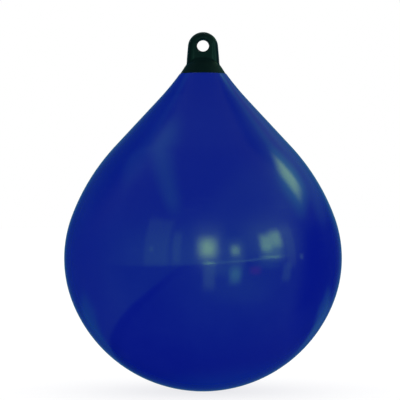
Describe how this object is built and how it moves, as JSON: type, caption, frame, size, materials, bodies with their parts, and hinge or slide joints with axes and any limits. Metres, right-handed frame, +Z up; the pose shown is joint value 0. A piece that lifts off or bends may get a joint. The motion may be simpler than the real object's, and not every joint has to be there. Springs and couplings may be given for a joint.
{
  "type": "inflatable teardrop marker buoy",
  "caption": "Blown soft-plastic teardrop float with a solid moulded rope eye on a round collar and a screw-closed air valve behind it, for marking, mooring or fendering.",
  "frame": {"origin": "centre of the rope eye's hole", "axes": "+Z up from the float to the eye, +Y along the hole towards the valve's side, +X across the lug"},
  "size_m": [0.6908, 0.6906, 0.8945],
  "materials": {
    "float_skin": "glossy soft vinyl, deep blue",
    "eye_casting": "satin solid vinyl, green-black",
    "valve_nylon": "moulded nylon, off-white"
  },
  "bodies": {
    "root": {"float_shell": "float_skin", "rope_eye": "eye_casting", "valve_bush": "valve_nylon", "valve_screw": "valve_nylon"}
  },
  "joints": []
}
